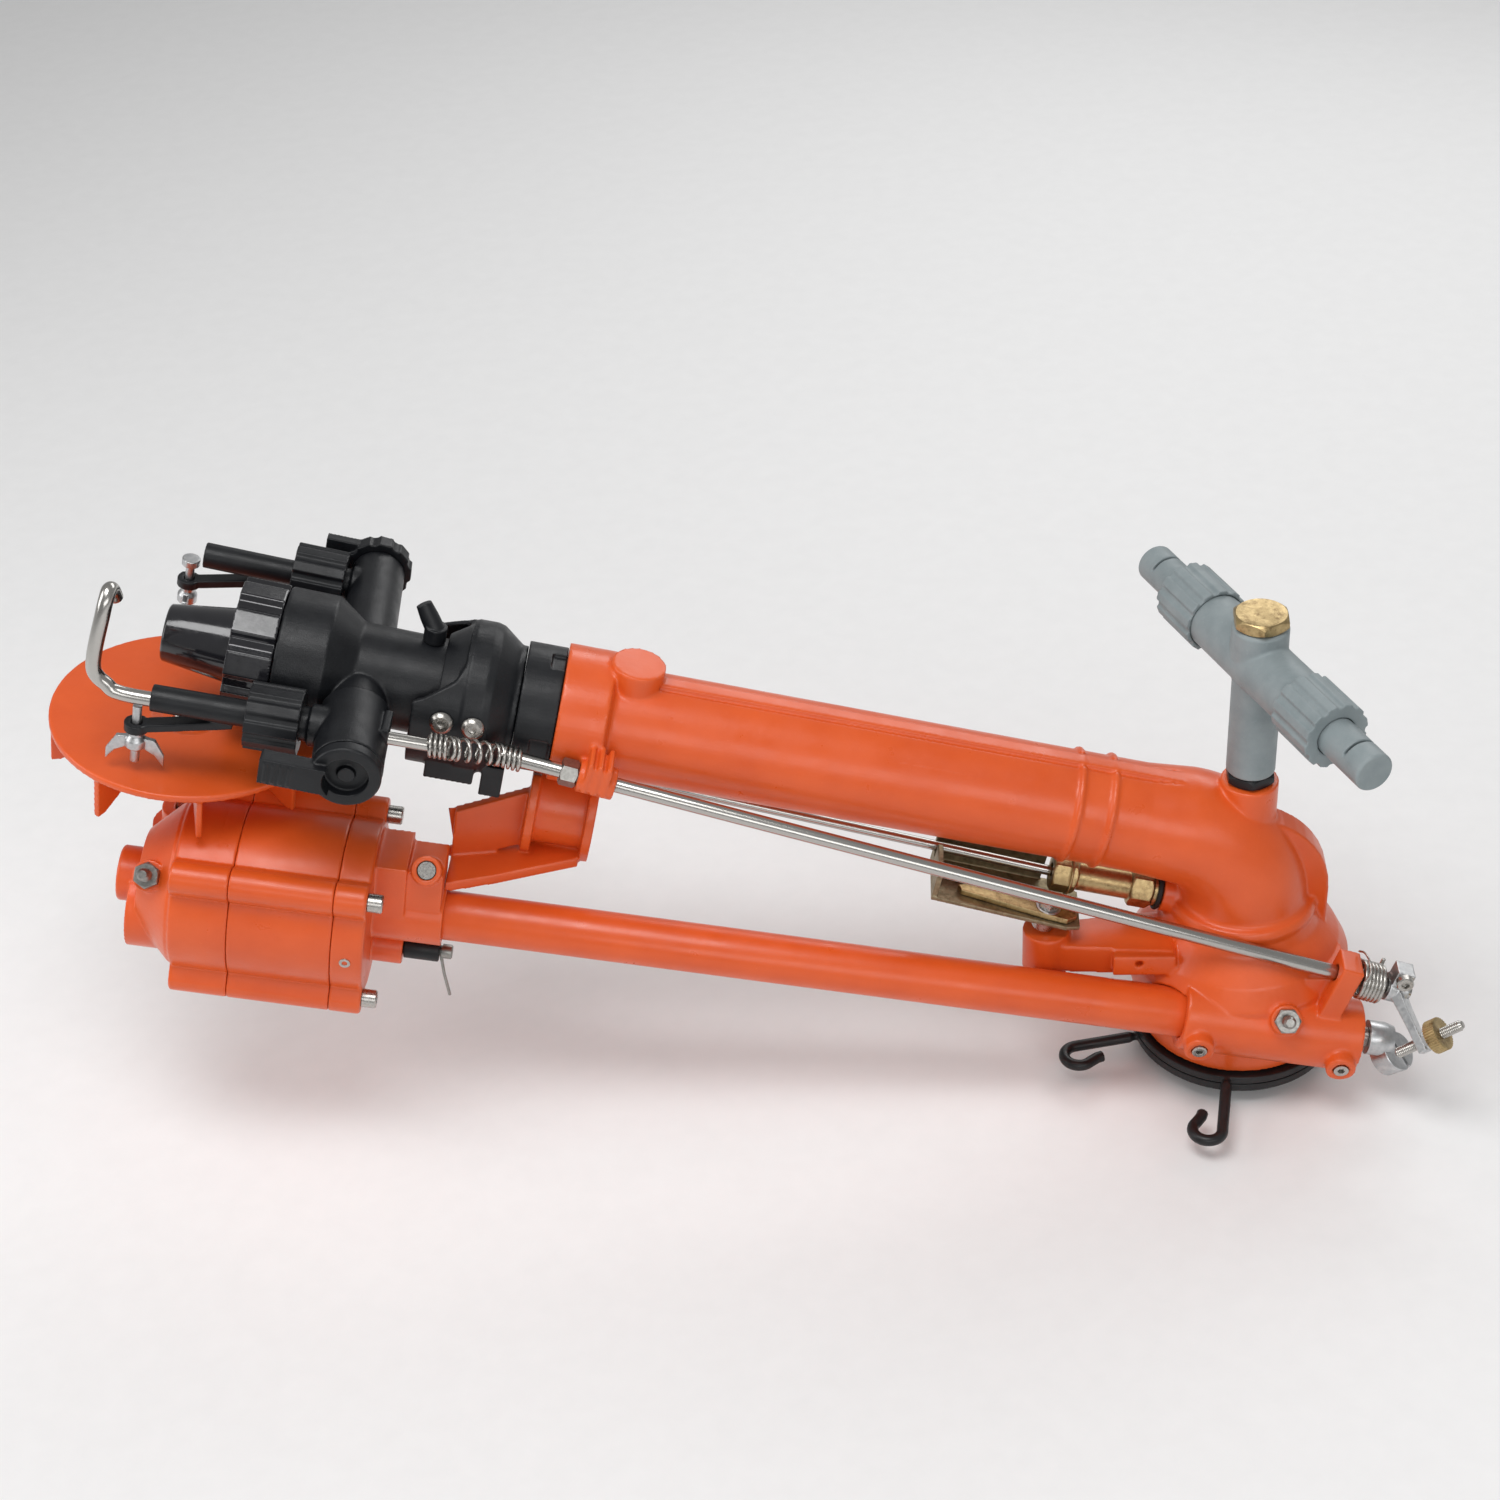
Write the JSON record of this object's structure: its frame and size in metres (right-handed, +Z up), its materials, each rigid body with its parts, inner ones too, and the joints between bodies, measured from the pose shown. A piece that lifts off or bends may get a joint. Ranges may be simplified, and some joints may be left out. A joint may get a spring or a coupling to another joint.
{
  "type": "rotary irrigation sprinkler",
  "caption": "Turbine-driven rotary irrigation sprinkler with an orange cast barrel, a black nozzle head with two side outlets, a worm drive line and trip linkage.",
  "frame": {"origin": "on the swivel axis, 14 mm above the underside of the inlet hub", "axes": "+Z up along the swivel axis, -X the way the barrel points, -Y the side with the turbine and drive line"},
  "size_m": [0.7511, 0.2086, 0.3522],
  "materials": {
    "orange_paint": "satin",
    "black_plastic": "matte",
    "gloss_black": "gloss",
    "grey_plastic": "matte",
    "stainless": "satin",
    "zinc_plated": "satin",
    "brass": "satin",
    "aged_bronze": "dull",
    "black_iron": "matte"
  },
  "bodies": {
    "base": {"inlet_hub": "black_iron", "worm_wheel": "aged_bronze"},
    "gun": {"bayonet_ring": "black_plastic", "cap_screw_1": "stainless", "cap_screw_2": "stainless", "cap_screw_3": "stainless", "cap_screw_4": "stainless", "coupling_spring": "stainless", "cover_nipple": "stainless", "drive_tube": "orange_paint", "gearbox_body": "orange_paint", "gearbox_front_cover": "orange_paint", "gearbox_rear_cover": "orange_paint", "gun_casting": "orange_paint", "head_body": "black_plastic", "hood": "black_plastic", "hood_knob": "black_plastic", "hood_screw_1": "stainless", "hood_screw_2": "stainless", "housing_nipple": "stainless", "housing_set_screw_left": "stainless", "housing_set_screw_right": "stainless", "muzzle_nut": "zinc_plated", "neck_clamp_screw": "stainless", "nozzle_cone": "gloss_black", "ring_nut": "gloss_black", "riser_nipple": "black_plastic", "side_nut_far": "black_plastic", "side_nut_near": "black_plastic", "side_tube_far": "black_plastic", "support_bracket": "orange_paint", "tee_body": "grey_plastic", "tee_jet_far": "grey_plastic", "tee_jet_near": "grey_plastic", "tee_plug": "brass", "torsion_spring": "stainless", "trip_bolt": "stainless", "trip_fitting": "brass", "trip_tray": "aged_bronze", "union_nut_far": "grey_plastic", "union_nut_near": "grey_plastic", "wing_bolt_far": "zinc_plated"},
    "ring_upper": {"stop_ring_upper": "black_iron"},
    "ring_lower": {"stop_ring_lower": "black_iron"},
    "drive": {"drive_shaft": "stainless", "drive_cam": "zinc_plated"},
    "turbine": {"turbine_disc": "orange_paint", "turbine_shaft": "stainless"},
    "selector": {"selector_pin": "black_plastic"},
    "rocker": {"main_rod": "stainless", "clamp_lever": "zinc_plated", "knurled_screw": "brass"},
    "breaker": {"short_shaft": "stainless", "side_tube_near": "black_plastic", "jet_wire": "stainless", "wing_bolt_near": "zinc_plated"},
    "valve_near": {"valve_lever_near": "black_plastic"},
    "valve_far": {"valve_cap_far": "black_plastic"},
    "trip_lever": {"trip_lever": "brass"},
    "trip_rod": {"trip_rod": "stainless"}
  },
  "joints": [
    {"name": "swivel", "type": "hinge", "parent": "base", "child": "gun", "pos_m": [0, 0, 0], "axis": [0, 0, 1], "continuous": true},
    {"name": "ring_upper_turn", "type": "hinge", "parent": "base", "child": "ring_upper", "pos_m": [0, 0, 0], "axis": [0, 0, 1], "range_deg": [-20, 120]},
    {"name": "ring_lower_turn", "type": "hinge", "parent": "base", "child": "ring_lower", "pos_m": [0, 0, 0], "axis": [0, 0, 1], "range_deg": [-120, 20]},
    {"name": "drive_spin", "type": "hinge", "parent": "gun", "child": "drive", "pos_m": [0, -0.046, 0.0395], "axis": [-0.9823, 0, 0.1874], "continuous": true},
    {"name": "turbine_spin", "type": "hinge", "parent": "gun", "child": "turbine", "pos_m": [-0.56531, 0, 0.22471], "axis": [0.1874, 0, 0.9823], "continuous": true},
    {"name": "selector_slide", "type": "slide", "parent": "gun", "child": "selector", "axis": [0.9823, 0, -0.1874], "range_m": [0, 0.008]},
    {"name": "rocker_turn", "type": "hinge", "parent": "gun", "child": "rocker", "pos_m": [0.052, -0.046, 0.0719], "axis": [-0.9439, 0.0048, 0.3301], "range_deg": [0, 25], "stiffness_Nm_per_rad": 0.6},
    {"name": "breaker_turn", "type": "hinge", "parent": "gun", "child": "breaker", "pos_m": [-0.50088, -0.0554, 0.26053], "axis": [-0.9731, 0, 0.2305], "range_deg": [0, 25]},
    {"name": "valve_near_turn", "type": "hinge", "parent": "gun", "child": "valve_near", "pos_m": [-0.46306, -0.0843, 0.24927], "axis": [0.0625, -0.9979, -0.0173], "range_deg": [0, 90]},
    {"name": "valve_far_turn", "type": "hinge", "parent": "gun", "child": "valve_far", "pos_m": [-0.47424, 0.0943, 0.25237], "axis": [-0.0625, 0.9979, 0.0173], "range_deg": [0, 90]},
    {"name": "trip_slide", "type": "slide", "parent": "gun", "child": "trip_rod", "axis": [-0.9728, 0.1158, 0.2004], "range_m": [-0.004, 0.004]},
    {"name": "trip_lever_turn", "type": "hinge", "parent": "gun", "child": "trip_lever", "pos_m": [-0.10773, -0.0185, 0.09574], "axis": [0.2419, 0, 0.9703], "range_deg": [-12, 12]}
  ],
  "couplings": [
    {"joint": "drive_spin", "follows": "swivel", "ratio": 24},
    {"joint": "breaker_turn", "follows": "rocker_turn", "ratio": 1},
    {"joint": "trip_lever_turn", "follows": "trip_slide", "rad_per_m": 50}
  ]
}
